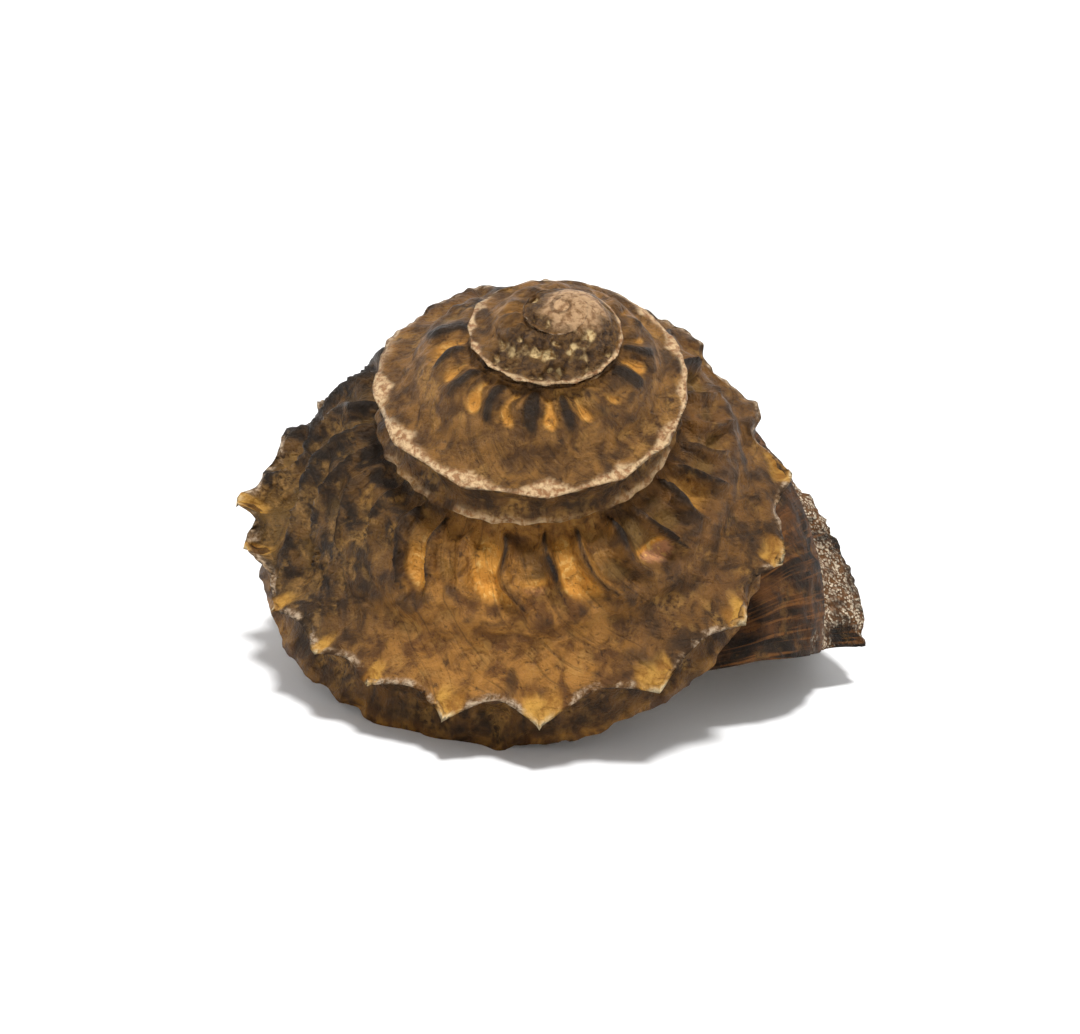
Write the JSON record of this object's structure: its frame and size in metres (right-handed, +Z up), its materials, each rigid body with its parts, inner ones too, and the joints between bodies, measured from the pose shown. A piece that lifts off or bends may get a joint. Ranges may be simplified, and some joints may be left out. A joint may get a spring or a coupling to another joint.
{
  "type": "turban shell",
  "caption": "Coiled turban shell with a spiny keel, folded shoulders and a round open mouth, resting mouth down as a natural ornament.",
  "frame": {"origin": "middle of the bounding box at the level of the surface that the shell rests on", "axes": "+Z up from the resting surface, +X from the coil towards the outer lip, the tip of the shell leans towards -Y"},
  "size_m": [0.0538, 0.0496, 0.0325],
  "materials": {
    "shell": "semi-gloss"
  },
  "bodies": {
    "root": {"shell": "shell"}
  },
  "joints": []
}
